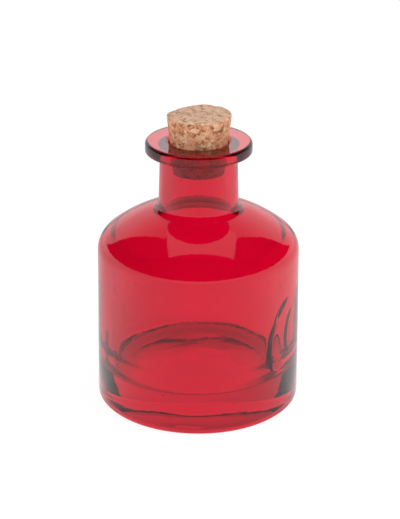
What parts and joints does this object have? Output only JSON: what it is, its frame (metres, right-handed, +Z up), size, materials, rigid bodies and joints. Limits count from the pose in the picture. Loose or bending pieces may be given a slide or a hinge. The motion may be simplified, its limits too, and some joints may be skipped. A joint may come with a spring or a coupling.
{
  "type": "glass bottle with cork stopper",
  "caption": "Small squat bottle of transparent red glass with a flanged lip, heavy base and tapered agglomerated cork stopper; empty.",
  "frame": {"origin": "centre of the foot ring, on the plane the bottle stands on", "axes": "+Z up, along the axis of the bottle and its cork; the bottle is round, so +X and +Y are alike"},
  "size_m": [0.0712, 0.0712, 0.1036],
  "materials": {
    "red_glass": "glossy",
    "cork": "matte"
  },
  "bodies": {
    "root": {"bottle": "red_glass", "cork": "cork"}
  },
  "joints": []
}
